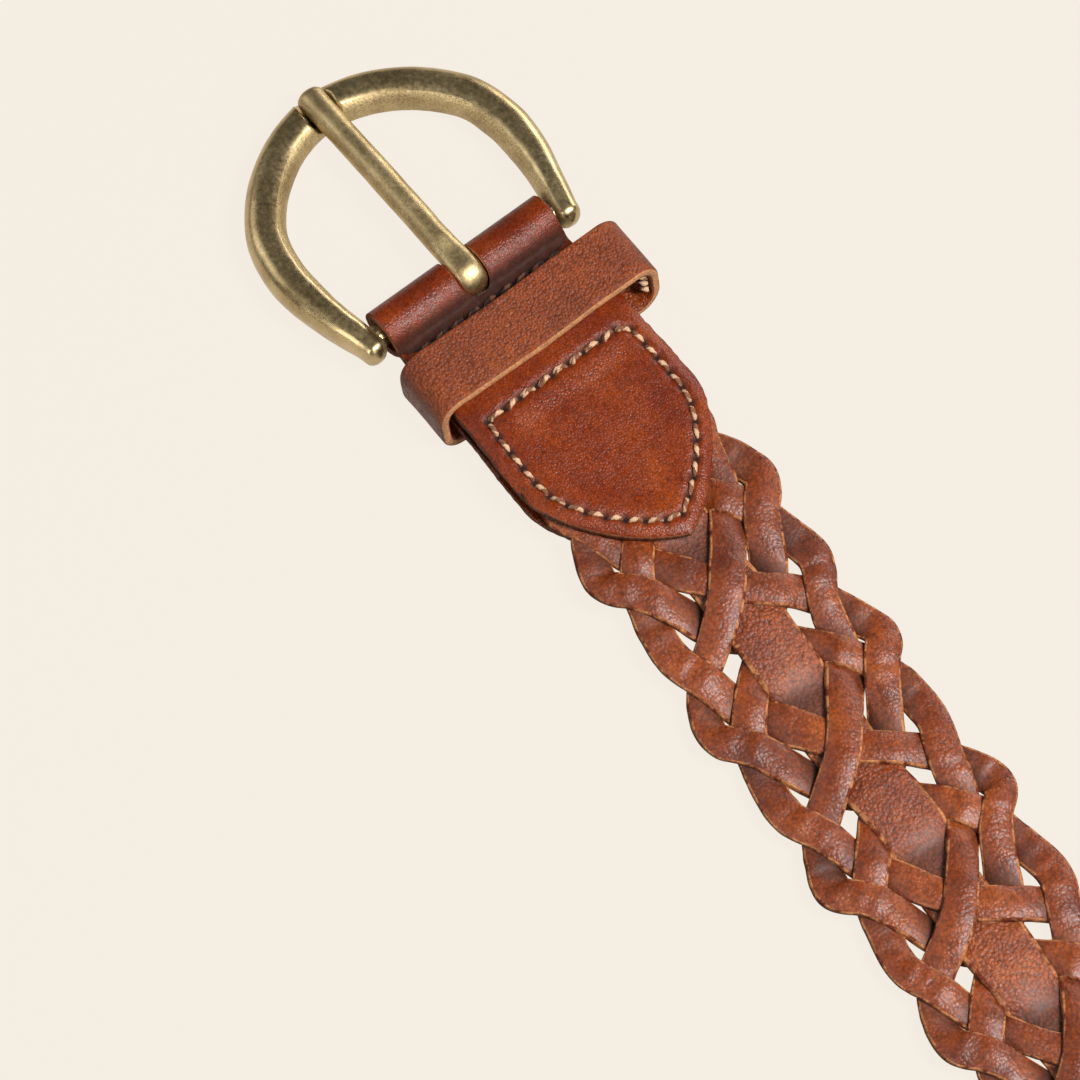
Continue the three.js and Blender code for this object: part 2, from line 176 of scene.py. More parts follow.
def lattice_noise(points, size, seed):
    """Smooth noise between -1 and 1 with features of a given size."""
    scaled = np.asarray(points, float) / size + 1000.0
    shape, axes = scaled.shape[:-1], scaled.shape[-1]
    cell = np.floor(scaled).astype(np.int64)
    part = smoothstep(0, 1, scaled - cell)
    total = np.zeros(shape)
    for corner in np.ndindex(*(2,) * axes):
        weight = np.ones(shape)
        key = np.full(shape, seed * 7919, np.int64)
        for axis, bit in enumerate(corner):
            weight = weight * (part[..., axis] if bit else 1 - part[..., axis])
            key = key * 31337 + (cell[..., axis] + bit) * (73856093, 19349663, 83492791)[axis]
            key &= 0x7FFFFFFF
        key = (key ^ (key >> 13)) * 1274126177 & 0x7FFFFFFF
        key = (key ^ (key >> 16)) & 0xFFFF
        total = total + weight * (key / 32767.5 - 1)
    return total


def catmull_rom(points, steps):
    """A smooth line through the points, with the same number of steps between each two."""
    points = np.asarray(points, float)
    padded = np.vstack([2 * points[0] - points[1], points, 2 * points[-1] - points[-2]])
    line = []
    for i in range(len(padded) - 3):
        a, b, c, d = padded[i:i + 4]
        for t in np.arange(steps) / steps:
            line.append(0.5 * (2 * b + (c - a) * t + (2 * a - 5 * b + 4 * c - d) * t ** 2
                               + (3 * b - a - 3 * c + d) * t ** 3))
    line.append(points[-1])
    return np.array(line)


def distances(line):
    """How far along the line each of its points lies."""
    return np.concatenate([[0], np.cumsum(np.linalg.norm(np.diff(line, axis=0), axis=1))])


def evenly(line, spacing, hoop=False):
    """The line again, with points a fixed distance apart."""
    if hoop:
        line = np.vstack([line, line[:1]])
    run = distances(line)
    count = max(2, int(round(run[-1] / spacing)) + 1)
    places = np.linspace(0, run[-1], count)
    out = np.stack([np.interp(places, run, line[:, k]) for k in range(line.shape[1])], axis=1)
    return out[:-1] if hoop else out


def neighbours(line, repeat=0.0):
    """The points before and after each point of a line that joins its own start again."""
    back, front = np.roll(line, 1, axis=0), np.roll(line, -1, axis=0)
    back[0, 0] -= repeat
    front[-1, 0] += repeat
    return back, front


# -------- the belt's shape

def middle_height(x):
    to_shield = (SHIELD_HEIGHT - BAR_HEIGHT) * smoothstep(25, 60, x)
    to_braid = (BRAID_HEIGHT - SHIELD_HEIGHT) * smoothstep(60, 88, x)
    return BAR_HEIGHT + to_shield + to_braid


def flat_middle(along):
    """The belt's centre line on the table: x, y and the angle it has turned through."""
    angle = BRAID_TURN * np.clip((along - TURN_START) / TURN_LENGTH, 0, 1)
    radius = TURN_LENGTH / BRAID_TURN
    after = np.maximum(along - TURN_START - TURN_LENGTH, 0)
    x = np.minimum(along, TURN_START) + radius * np.sin(angle) + after * np.cos(angle)
    y = radius * (1 - np.cos(angle)) + after * np.sin(angle)
    return x, y, angle


ROLL_WIDTH = 37.0
ROLL_MIDDLE_RADIUS = ROLL_RADIUS - BRAID_HEIGHT


def roll_centre_along():
    """Distance along the belt at which the roll's axis stands over it."""
    x = flat_middle(np.array(TURN_START + TURN_LENGTH))[0]
    high_x = 1000 * roll_high.x - ORIGIN[0]
    half_across = ROLL_WIDTH / 2 * abs(math.sin(BRAID_TURN))
    reach = high_x - ROLL_RADIUS * math.cos(BRAID_TURN) - half_across - x
    return TURN_START + TURN_LENGTH + reach / math.cos(BRAID_TURN)


ROLL_ALONG = roll_centre_along()
ROLL_SHRINK = ROLL_PITCH / (2 * math.pi)


def turned(along, forward, across, level):
    """Points ahead of and beside a place on the flat belt's centre line."""
    x, y, angle = flat_middle(along)
    px = x + forward * np.cos(angle) - across * np.sin(angle)
    py = y + forward * np.sin(angle) + across * np.cos(angle)
    return np.stack([px, py, level], axis=-1)


def on_belt(along, across, height):
    """A point of the belt: flat on the table, then wound into the roll."""
    rolled = np.maximum(along - ROLL_ALONG, 0)
    root = np.sqrt(np.maximum(ROLL_MIDDLE_RADIUS ** 2 - 2 * ROLL_SHRINK * rolled, 1.0))
    turn = (ROLL_MIDDLE_RADIUS - root) / ROLL_SHRINK
    radius = ROLL_MIDDLE_RADIUS - ROLL_SHRINK * turn - height
    forward = np.where(rolled > 0, radius * np.sin(turn), 0)
    level = np.where(rolled > 0, ROLL_RADIUS - radius * np.cos(turn), middle_height(along) + height)
    return turned(np.minimum(along, ROLL_ALONG), forward, across, level)


# -------- the weave

# One leg of a strand from turn to turn: distance along from its own even crossing, and across.
EVEN_LEG = [(-28.4, 14.6), (-22.2, 12.1), (-12.6, 9.0), (0.0, 0.0), (4.8, -5.3), (10.2, -12.1)]
ODD_LEG = [(-12.4, 16.3), (-7.2, 12.3), (4.8, 5.3), (9.8, 0.0), (19.8, -9.0), (25.2, -12.3)]
ZIGZAG = 3 * BRAID_PERIOD
WEAVE_STEP = 1.0
SETTLE_ROUNDS = 420
STRAND_COLUMNS = 7
STRAP_COLUMNS = 9
X_EVEN, Y_ODD, X_ODD, Y_EVEN, STRAP = range(5)


def moved(leg, base, side):
    return [(base + along, side * across) for along, across in leg]


class Strip:
    """One leather strip over one repeat of the braid: its rows, legs and heights."""

    def __init__(self, points, repeat, legs, width, columns):
        ahead = [(along + repeat, across) for along, across in points[:2]]
        before = [(along - repeat, across) for along, across in points[-1:]]
        line = catmull_rom(before + list(points) + ahead, 24)[24:-24]
        line = evenly(line, WEAVE_STEP)[:-1]
        for _ in range(4):
            back, front = neighbours(line, repeat)
            line = 0.5 * line + 0.25 * (back + front)
        back, front = neighbours(line, repeat)
        tangent = unit(front - back)
        self.centre = line
        self.side = np.stack([-tangent[:, 1], tangent[:, 0]], axis=1)
        self.repeat = repeat
        self.width = width
        self.offsets = np.linspace(-width / 2, width / 2, columns)
        self.nodes = line[:, None] + self.offsets[:, None] * self.side[:, None]
        self.height = np.zeros((len(line), columns))
        start, turn = points[0][0], points[len(points) // 2][0]
        second = (line[:, 0] - start) % repeat >= turn - start
        self.leg = np.where(second, legs[-1], legs[0])


# For two legs that cross: where across the belt their order changes, and which sign the first
# leg has beyond it: +1 for over, -1 for under.
CROSSINGS = {(X_EVEN, Y_EVEN): (-6, 1), (Y_ODD, X_ODD): (-6, -1),
             (X_EVEN, Y_ODD): (0, -1), (X_ODD, Y_EVEN): (0, -1)}


def which_over(leg_a, leg_b, across):
    """+1 where a strip of leg a lies over one of leg b, -1 where it lies under, 0 for neither."""
    if leg_a > leg_b:
        return -which_over(leg_b, leg_a, across)
    if leg_b == STRAP:
        return np.full(across.shape, 1 if leg_a in (X_EVEN, Y_EVEN) else -1)
    limit, sign = CROSSINGS.get((leg_a, leg_b), (0, 0))
    return np.where(across > limit, sign, -sign)


def find_contacts(a, b):
    """Places where strip a's points lie on strip b, for every way the braid repeats b."""
    contacts = []
    for leg in np.unique(b.leg):
        rows = np.nonzero(b.leg == leg)[0]
        for shift in range(-4, 5):
            if a is b and shift % 3 == 0:
                continue
            centre = b.centre[rows] + [shift * BRAID_PERIOD, 0]
            apart = a.nodes[:, :, None] - centre
            nearest = np.argmin((apart ** 2).sum(axis=3), axis=2)
            i, j = np.indices(nearest.shape)
            gap = apart[i, j, nearest]
            row = rows[nearest]
            side = b.side[row]
            lateral = (gap * side).sum(axis=2)
            along = np.abs(gap[..., 0] * side[..., 1] - gap[..., 1] * side[..., 0])
            hit = (np.abs(lateral) < b.width / 2) & (along < WEAVE_STEP)
            for a_leg in np.unique(a.leg):
                order = which_over(int(a_leg), int(leg), a.nodes[..., 1])
                chosen = hit & (a.leg == a_leg)[:, None] & (order != 0)
                place = (lateral[chosen] / b.width + 0.5) * (len(b.offsets) - 1)
                column = np.clip(place.astype(int), 0, len(b.offsets) - 2)
                contacts.append((i[chosen], j[chosen], row[chosen], column, place - column,
                                 order[chosen]))
    return [np.concatenate(parts) for parts in zip(*contacts)]


def straighten(strip, amount):
    """Leather hardly bends across its width, so each row of heights is near a straight line."""
    offsets = strip.offsets
    slope = (strip.height @ offsets) / (offsets @ offsets)
    flat = strip.height.mean(axis=1, keepdims=True) + slope[:, None] * offsets
    strip.height += amount * (flat - strip.height)


def settle(strips, thickness):
    """Pulls every strip straight while each keeps its layer over and under the others."""
    pairs = [(a, b, find_contacts(a, b)) for index, a in enumerate(strips)
             for b in strips[index:]]
    for turn in range(SETTLE_ROUNDS):
        pull = 0.42 if turn < 0.8 * SETTLE_ROUNDS else 0.12
        for strip in strips:
            back, front = neighbours(strip.height)
            strip.height += pull * (0.5 * (back + front) - strip.height)
            straighten(strip, 0.4)
        pushes = {strip: np.zeros((2, *strip.height.shape)) for strip in strips}
        for a, b, (i, j, row, column, part, order) in pairs:
            below = (1 - part) * b.height[row, column] + part * b.height[row, column + 1]
            short = np.maximum(thickness - order * (a.height[i, j] - below), 0) * order * 0.5
            push, count = pushes[a]
            np.add.at(push, (i, j), short)
            np.add.at(count, (i, j), short != 0)
            push, count = pushes[b]
            for where, weight in ((column, 1 - part), (column + 1, part)):
                np.add.at(push, (row, where), -short * weight)
                np.add.at(count, (row, where), (short != 0) * weight)
        for strip, (push, count) in pushes.items():
            strip.height += push / np.maximum(count, 1)
    highest = max(strip.height.max() for strip in strips)
    lowest = min(strip.height.min() for strip in strips)
    for strip in strips:
        strip.height -= 0.5 * (highest + lowest)
        strip.height *= (BRAID_DEPTH - thickness) / (highest - lowest)


even_strand = Strip(moved(EVEN_LEG, 0, 1) + moved(ODD_LEG, BRAID_PERIOD, -1),
                    ZIGZAG, (X_EVEN, Y_ODD), STRAND_WIDTH, STRAND_COLUMNS)
odd_strand = Strip(moved(ODD_LEG, 0, 1) + moved(EVEN_LEG, 2 * BRAID_PERIOD, -1),
                   ZIGZAG, (X_ODD, Y_EVEN), STRAND_WIDTH, STRAND_COLUMNS)
middle_strap = Strip([(k * BRAID_PERIOD / 6, 0.0) for k in range(6)],
                     BRAID_PERIOD, (STRAP,), STRAP_WIDTH, STRAP_COLUMNS)
settle([even_strand, odd_strand, middle_strap], STRAND_THICKNESS)


# -------- materials

def linear(red, green, blue):
    """A colour given as screen values from 0 to 255."""
    return tuple((value / 255) ** 2.2 for value in (red, green, blue)) + (1.0,)


class Nodes:
    """A short way to write a material's nodes."""

    def __init__(self, name):
        self.material = bpy.data.materials.new(name)
        self.material.use_nodes = True
        self.tree = self.material.node_tree
        self.place = self.add("ShaderNodeTexCoord").outputs["Object"]

    def add(self, kind, **settings):
        node = self.tree.nodes.new(kind)
        for key, value in settings.items():
            setattr(node, key, value)
        return node

    def feed(self, node, inputs):
        """Links a node's inputs to other nodes' outputs, or sets them to plain values."""
        for name, value in inputs.items():
            if hasattr(value, "links"):
                self.tree.links.new(value, node.inputs[name])
            else:
                node.inputs[name].default_value = value

    def noise(self, size, detail=3.0, roughness=0.6):
        """Noise with features of a given size in millimetres."""
        node = self.add("ShaderNodeTexNoise")
        self.feed(node, {"Scale": 1000 / size, "Detail": detail, "Roughness": roughness,
                         "Vector": self.place})
        return node.outputs["Fac"]

    def cells(self, size):
        """The distance from the middles of small cells of a given size in millimetres."""
        node = self.add("ShaderNodeTexVoronoi", feature="F1")
        self.feed(node, {"Scale": 1000 / size, "Vector": self.place})
        return node.outputs["Distance"]

    def ramp(self, source, *stops):
        node = self.add("ShaderNodeValToRGB")
        elements = node.color_ramp.elements
        while len(elements) < len(stops):
            elements.new(0.5)
        for element, (position, colour) in zip(elements, stops):
            element.position = position
            element.color = colour if isinstance(colour, tuple) else (colour,) * 3 + (1.0,)
        self.feed(node, {"Fac": source})
        return node.outputs["Color"]

    def mix(self, factor, first, second, blend="MIX"):
        node = self.add("ShaderNodeMix", data_type="RGBA", blend_type=blend)
        self.feed(node, {"Factor": factor, "A": first, "B": second})
        return node.outputs["Result"]

    def math(self, operation, first, second):
        node = self.add("ShaderNodeMath", operation=operation)
        self.feed(node, {0: first, 1: second})
        return node.outputs["Value"]

    def bump(self, height, depth, below=None):
        """A bump of a given depth in millimetres."""
        node = self.add("ShaderNodeBump")
        self.feed(node, {"Strength": 1.0, "Distance": depth / 1000, "Height": height})
        if below is not None:
            self.feed(node, {"Normal": below})
        return node.outputs["Normal"]

    def surface(self, **inputs):
        """The finished material: its shader's inputs, with _ for a space in their names."""
        named = {name.replace("_", " "): value for name, value in inputs.items()}
        self.feed(self.tree.nodes["Principled BSDF"], named)
        return self.material


def leather(name, dye, roughness, grain, depth, wear, gleam, coat=0.0):
    """Grained leather: mottled dye, darkened pores, painted shade from the dark value on the mesh,
    and a soft gloss.
    """
    nodes = Nodes(name)
    dark, mid, light = (linear(*tone) for tone in dye)
    colour = nodes.ramp(nodes.noise(9.0, 4.0), (0.32, dark), (0.52, mid), (0.72, light))
    speckle = nodes.ramp(nodes.noise(0.7, 3.0, 0.7), (0.36, 0.5), (0.52, 1.0), (0.66, 1.3))
    colour = nodes.mix(0.6, colour, speckle, "MULTIPLY")
    pores = nodes.cells(grain)
    creases = nodes.ramp(pores, (0.1, 1.12), (0.45, 0.95), (0.72, 0.5))
    colour = nodes.mix(wear, colour, creases, "MULTIPLY")
    # Painted shade: the colour is pulled towards near-black by the dark value painted on the mesh,
    # and made a little rougher there.
    shade = nodes.add("ShaderNodeAttribute", attribute_name="dark").outputs["Fac"]
    colour = nodes.mix(shade, colour, (0.008, 0.004, 0.002, 1.0))
    gloss = nodes.ramp(nodes.noise(1.3), (0.3, roughness - 0.07), (0.7, roughness + 0.12))
    matt = nodes.math("MULTIPLY", shade, 0.6)
    normal = nodes.bump(nodes.math("MULTIPLY", pores, -1.0), depth)
    normal = nodes.bump(nodes.noise(0.45), depth * 0.8, normal)
    normal = nodes.bump(nodes.noise(2.6, 2.0, 0.5), depth * 0.4, normal)
    return nodes.surface(Base_Color=colour, Roughness=nodes.math("ADD", gloss, matt),
                         Normal=normal, Specular_IOR_Level=gleam, Coat_Weight=coat,
                         Coat_Roughness=0.42)


def raw_leather(name, dark, light, dye=None):
    """A cut edge: pale fuzzy fibres in thin layers, the dye run over it in places."""
    nodes = Nodes(name)
    fibres = nodes.noise(0.5, 4.0, 0.7)
    colour = nodes.ramp(fibres, (0.3, linear(*dark)), (0.7, linear(*light)))
    patches = nodes.ramp(nodes.noise(3.0), (0.3, 0.55), (0.6, 1.1))
    colour = nodes.mix(0.5, colour, patches, "MULTIPLY")
    if dye:
        cover = nodes.ramp(nodes.noise(2.2, 4.0, 0.7), (0.42, 1.0), (0.55, 0.0))
        colour = nodes.mix(cover, colour, linear(*dye))
    return nodes.surface(Base_Color=colour, Roughness=0.9, Specular_IOR_Level=0.25,
                         Normal=nodes.bump(fibres, 0.22))


def antique_brass(name, roughness, depth, speckling):
    """Old brass: satin, speckled with fine pits and a thin brown patina."""
    nodes = Nodes(name)
    patina = nodes.ramp(nodes.noise(6.0, 4.0), (0.30, linear(158, 136, 98)),
                        (0.55, linear(186, 164, 121)), (0.78, linear(202, 181, 138)))
    speckle = nodes.ramp(nodes.noise(0.35, 3.0, 0.75), (0.36, 0.6), (0.56, 1.05))
    gloss = nodes.ramp(nodes.noise(0.8), (0.3, roughness), (0.7, roughness + 0.14))
    normal = nodes.bump(nodes.noise(0.4, 3.0, 0.65), depth)
    normal = nodes.bump(nodes.noise(4.0, 2.0, 0.5), depth * 1.5, normal)
    return nodes.surface(Base_Color=nodes.mix(speckling, patina, speckle, "MULTIPLY"),
                         Metallic=1.0, Roughness=gloss, Normal=normal)


def twisted_thread(name, dark, light):
    nodes = Nodes(name)
    fibres = nodes.noise(0.3, 3.0, 0.7)
    colour = nodes.ramp(fibres, (0.3, linear(*dark)), (0.7, linear(*light)))
    return nodes.surface(Base_Color=colour, Roughness=0.8, Normal=nodes.bump(fibres, 0.08))


BRASS = antique_brass("brass_satin", 0.27, 0.012, 0.4)
BRASS_WORN = antique_brass("brass_worn", 0.38, 0.02, 0.7)
BRASS_ROUGH = antique_brass("brass_cast_wall", 0.5, 0.07, 0.95)
CHAPE_SKIN = leather("chape_skin", [(107, 38, 8), (125, 49, 10), (142, 61, 15)],
                     0.34, 0.40, 0.075, wear=0.5, gleam=0.28, coat=0.04)
KEEPER_SKIN = leather("keeper_skin", [(116, 50, 14), (134, 60, 17), (148, 71, 23)],
                      0.44, 0.5, 0.2, wear=0.6, gleam=0.34)
BRAID_SKIN = leather("braid_skin", [(98, 41, 14), (129, 58, 21), (154, 76, 32)],
                     0.38, 0.6, 0.085, wear=0.6, gleam=0.42, coat=0.12)
STRAP_SKIN = leather("strap_skin", [(118, 50, 18), (142, 66, 27), (162, 83, 38)],
                     0.36, 0.65, 0.25, wear=0.75, gleam=0.45, coat=0.22)
RAW_EDGE = raw_leather("raw_edge", (150, 92, 56), (216, 158, 112))
BRAID_EDGE = raw_leather("braid_edge", (132, 74, 42), (214, 146, 96), dye=(100, 44, 23))
CHAPE_EDGE = raw_leather("chape_edge", (96, 52, 32), (166, 104, 68))
SLOT_EDGE = raw_leather("slot_edge", (150, 82, 44), (204, 134, 84))
CREAM_PLY = twisted_thread("thread_cream", (176, 126, 92), (232, 196, 160))
BROWN_PLY = twisted_thread("thread_brown", (84, 46, 28), (150, 98, 66))
DARK_PLY = twisted_thread("thread_dark", (30, 16, 12), (74, 46, 36))


# -------- the buckle

def tilted(points):
    """From the buckle's own frame, about the bar, to the frame of the belt."""
    sine, cosine = math.sin(RING_TILT), math.cos(RING_TILT)
    x = points[..., 0] * cosine - points[..., 2] * sine
    z = points[..., 0] * sine + points[..., 2] * cosine
    return np.stack([x, points[..., 1], z + BAR_HEIGHT], axis=-1)


# Half of the ring's centre line from lug to crown: reach ahead of the bar, side, half width.
RING_HALF_LINE = [(-3.7, 20.1, 1.9), (-2.6, 20.2, 2.2), (0.0, 20.5, 2.4), (6.4, 22.0, 2.8),
                  (12.8, 23.0, 3.3), (19.2, 23.1, 3.5), (26.6, 21.1, 3.5), (33.5, 15.4, 3.5),
                  (38.1, 8.0, 3.5), (39.8, 0.0, 3.5)]
RING_SIDES = 48
PRONG_SIDES = 28
EYE_MIDDLE = 3.4
NOTCH_RADIUS = 2.95
NOTCH_SHIFT = -0.3
NOTCH_LIFT = PRONG_LIFT + 0.55


def ring_centre_line():
    near = [(-reach, side, half) for reach, side, half in RING_HALF_LINE]
    far = [(x, -side, half) for x, side, half in reversed(near[:-1])]
    return evenly(catmull_rom(near + far, 24), 0.45)


def build_ring():
    """A D of brass: domed above, flat rough walls inside, rounded lugs, a notch for the prong."""
    line = ring_centre_line()
    count = len(line)
    tangent = unit(np.gradient(line[:, :2], axis=0))
    outward = np.stack([-tangent[:, 1], tangent[:, 0]], axis=1)
    turn = np.linspace(0, 2 * math.pi, RING_SIDES, endpoint=False)
    run = distances(line[:, :2])
    from_end = np.minimum(run, run[-1] - run)
    close = rounded_end(from_end, 1.7, 0.02)
    tall = RING_HALF_HEIGHT * close * (0.8 + 0.2 * smoothstep(0, 9, from_end))
    across = (line[:, 2] * close)[:, None] * squared_off(np.cos(turn), 0.75)
    middle = line[:, None] * [1, 1, 0]
    points = np.tile(middle, (1, RING_SIDES, 1))
    points[..., :2] += outward[:, None] * across[..., None]
    points[..., 2] = tall[:, None] * squared_off(np.sin(turn), 0.85)
    pull = lattice_noise(points, 5.0, 3) * 0.07 + lattice_noise(points, 1.6, 4) * 0.03
    points += unit(points - middle) * pull[..., None]
    aside = points[..., 1] - NOTCH_SHIFT
    floor = NOTCH_LIFT - np.sqrt(np.maximum(NOTCH_RADIUS ** 2 - aside ** 2, 0))
    notched = (points[..., 0] < -30) & (np.abs(aside) < NOTCH_RADIUS * 0.98)
    points[..., 2] = np.where(notched, np.minimum(points[..., 2], floor), points[..., 2])
    inner_side = np.sign(outward[count // 2, 0])
    wall = np.cos(turn + math.pi / RING_SIDES) * inner_side > 0.55
    make_loft("buckle_ring_brass", tilted(points), [BRASS, BRASS_ROUGH], "ring", "buckle_ring",
              [*np.tile(wall, count - 1), 0, 0])


def build_bar():
    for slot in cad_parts["buckle_bar"].material_slots:
        slot.material = BRASS


def build_prong():
    """A round bar, flattened where it wraps over and round the buckle's bar."""
    shaft = [(-PRONG_LENGTH, -0.3), (1.5 - PRONG_LENGTH, -0.05), (-38.0, 0.15), (-29.0, 0.35),
             (-18.0, 0.35), (-9.0, 0.2), (-4.5, 0.3)]
    path = [(x, 0.0, PRONG_LIFT + rise) for x, rise in shaft] + [(-2.0, 0.0, EYE_MIDDLE - 0.3)]
    for turn in np.radians(np.arange(0, 281, 20)):
        path.append((EYE_MIDDLE * math.sin(turn), 0.0, EYE_MIDDLE * math.cos(turn)))
    line = evenly(catmull_rom(path, 16), 0.35)
    tangent = unit(np.gradient(line, axis=0))
    upward = np.stack([-tangent[:, 2], np.zeros(len(line)), tangent[:, 0]], axis=1)
    run = distances(line)
    flat = smoothstep(PRONG_LENGTH - 7.0, PRONG_LENGTH - 0.5, run)
    close = rounded_end(run, 1.4, 0.03, 2.4) * rounded_end(run[-1] - run, 0.8, 0.05)
    thick = (2.2 - 1.25 * flat) * close
    wide = (2.42 + 0.1 * flat + 0.1 * smoothstep(9, 2, run)) * close
    turn = np.linspace(0, 2 * math.pi, PRONG_SIDES, endpoint=False)
    middle = line[:, None]
    points = middle + upward[:, None] * (thick[:, None] * np.sin(turn))[..., None]
    points[..., 1] += wide[:, None] * squared_off(np.cos(turn), 0.9)
    points += unit(points - middle) * (lattice_noise(points, 3.0, 8) * 0.06)[..., None]
    make_loft("prong_brass", tilted(points), [BRASS_WORN], "prong", "prong")


build_ring()
build_bar()
build_prong()


# -------- the chape

def bezier(a, b, c, d, count):
    t = np.linspace(0, 1, count)[:, None]
    a, b, c, d = (np.array(p, float) for p in (a, b, c, d))
    return a * (1 - t) ** 3 + 3 * b * t * (1 - t) ** 2 + 3 * c * t * t * (1 - t) + d * t ** 3


def shield_side(inset=0.0):
    """The shield's right edge from its straight part to the tip, moved in by a distance."""
    half = CHAPE_WIDTH / 2 - inset
    tip = SHIELD_TIP - inset
    straight = bezier((24, half), (29, half + 0.2), (34, half + 0.5), (39, half + 0.3), 16)
    close = bezier((39, half + 0.3), (44.5, half + 0.1), (tip - 4.2, half * 0.56), (tip, 0), 40)
    return np.vstack([straight[:-1], close])


def chape_outline(start):
    right = shield_side()
    left = (right * [1, -1])[::-1]
    return np.vstack([[start, CHAPE_WIDTH / 2], right, left[1:], [start, -CHAPE_WIDTH / 2]])


def prism(name, outline, material):
    """An upright prism through the whole chape, used to cut it."""
    points = np.array([(x, y, z) for z in (-9, 9) for x, y in outline])
    return add_piece(name, points, loft_faces(2, len(outline)), material)


def cut(piece, cutter, operation):
    """Applies a boolean and removes the cutter. The cut faces take the cutter's material."""
    modifier = piece.modifiers.new("cut", "BOOLEAN")
    modifier.operation = operation
    modifier.object = cutter
    modifier.solver = "EXACT"
    modifier.material_mode = "TRANSFER"
    graph = bpy.context.evaluated_depsgraph_get()
    made = bpy.data.meshes.new_from_object(piece.evaluated_get(graph))
    piece.modifiers.clear()
    piece.data = made
    bpy.data.objects.remove(cutter)


def edge_distance(points, outline):
    """How far each point lies from an outline, in the plane."""
    best = np.full(len(points), 1e9)
    for a, b in zip(outline, np.roll(outline, -1, axis=0)):
        span = b - a
        t = np.clip(((points - a) @ span) / max(span @ span, 1e-9), 0, 1)
        best = np.minimum(best, np.linalg.norm(points - (a + t[:, None] * span), axis=1))
    return best


def seam_line():
    """The closed stitch line of the shield: a straight row across, then round the edge."""
    right = shield_side(SEAM_INSET)
    right = right[right[:, 0] > SEAM_FRONT + 1.2]
    half = right[0, 1]
    across = np.stack([np.full(13, SEAM_FRONT), np.linspace(-half + 0.4, half - 0.4, 13)], axis=1)
    left = (right * [1, -1])[::-1]
    return np.vstack([across, right, left[1:]])


SEAM_HOLES = evenly(seam_line(), STITCH, True)
CREASE_HALF = CHAPE_WIDTH / 2 - 2.3
CREASE_HOLES = evenly(np.array([[CREASE, -CREASE_HALF], [CREASE, CREASE_HALF]]), STITCH)
FOLD_MIDDLE = (FOLD_INNER + FOLD_OUTER) / 2


def flat_strip_grid():
    """The strip as a closed solid folded round the bar, before its shield is cut."""
    lengths = np.arange(SHIELD_TIP + 2, 0, -0.55)
    path = [(x, FOLD_MIDDLE, 0.0, 1.0) for x in lengths]
    for turn in np.linspace(math.pi / 2, 1.5 * math.pi, 30):
        nx, nz = math.cos(turn), math.sin(turn)
        path.append((FOLD_MIDDLE * nx, FOLD_MIDDLE * nz, nx, nz))
    path += [(x, -FOLD_MIDDLE, 0.0, -1.0) for x in lengths[::-1]]
    sideways = np.linspace(-20, 20, 74)
    rings = []
    for x, z, nx, nz in path:
        outer = [(x + nx * LEATHER / 2, y, z + nz * LEATHER / 2) for y in sideways]
        inner = [(x - nx * LEATHER / 2, y, z - nz * LEATHER / 2) for y in sideways[::-1]]
        rings.append(outer + inner)
    return np.array(rings)


def shape_chape(points, raw=0.0):
    """Moves the cut strip's points: pinched sides, pressed border, dished panel, creases."""
    shaped = points.copy()
    gap = edge_distance(points[:, :2], chape_outline(-30.0))
    seam_gap = edge_distance(points[:, :2], seam_line())
    x, y, z = points.T
    skin = (np.abs(z) > FOLD_MIDDLE).astype(float)
    lying = smoothstep(2.0, 7.0, x)
    side = smoothstep(7.0, 0.0, gap) * (1 - 0.8 * smoothstep(36, 46, x))
    drop = 1.05 * side * lying
    valley = 2.6 * np.clip((x - 0.2) / 4.7, 0, 1) ** 1.8 * smoothstep(CREASE + 3.2, CREASE, x)
    drop += valley * np.where(skin, 1.0, 0.86)
    drop += skin * 0.38 * smoothstep(0.9, 0.0, gap) * lying
    drop += skin * 0.16 * smoothstep(1.75, 1.45, gap) * smoothstep(20, 24, x)
    drop += skin * 0.28 * bump_at(seam_gap, 0, 0.55) * smoothstep(18, 22, x)
    panel = smoothstep(0.5, 5.5, seam_gap) * smoothstep(SEAM_FRONT, SEAM_FRONT + 6, x)
    drop += 0.34 * panel * (gap > SEAM_INSET)
    drop -= 0.2 * bump_at(gap, 1.9, 0.8) * smoothstep(22, 27, x)
    crinkle = lattice_noise(points * [1.0, 0.22, 1.0], 1.1, 21)
    drop += skin * 0.24 * crinkle * bump_at(x, CREASE - 0.8, 1.6)
    drop += skin * 0.06 * lattice_noise(points, 4.0, 22)
    shaped[:, 2] += middle_height(x) - np.sign(z) * drop
    fray = lattice_noise(points, 0.9, 23) * 0.14 * raw
    shaped[:, 1] += np.where(np.abs(y) > 4, np.sign(y), 0) * fray
    return shaped


def paint_shade(piece, dark=0.0):
    """Paints shade into the leather's colour at each point, from 0 to 1: how far it is darkened."""
    layer = piece.data.attributes.new("dark", "FLOAT", "POINT")
    layer.data.foreach_set("value", np.full(len(layer.data), dark, np.float32))


def smooth_once(piece):
    modifier = piece.modifiers.new("surface", "SUBSURF")
    modifier.levels = 1
    modifier.render_levels = 1


def cut_chape():
    """The folded strip with both its ends cut to the shield, and its slot for the prong."""
    rings = flat_strip_grid()
    faces = loft_faces(*rings.shape[:2])
    piece = add_piece("chape_leather", rings.reshape(-1, 3), faces, CHAPE_SKIN)
    cut(piece, prism("shield_cutter", chape_outline(-12.0), CHAPE_EDGE), "INTERSECT")
    half = SLOT_WIDTH / 2
    back = [(SLOT_REACH - half + half * math.cos(a), half * math.sin(a))
            for a in np.linspace(-math.pi / 2, math.pi / 2, 14)]
    slot = np.array([(-12.0, -half), *back, (-12.0, half)])
    cut(piece, prism("slot_cutter", slot, SLOT_EDGE), "DIFFERENCE")
    return piece


HOLE_RADIUS = 0.8
HOLE_DEPTH = 0.55


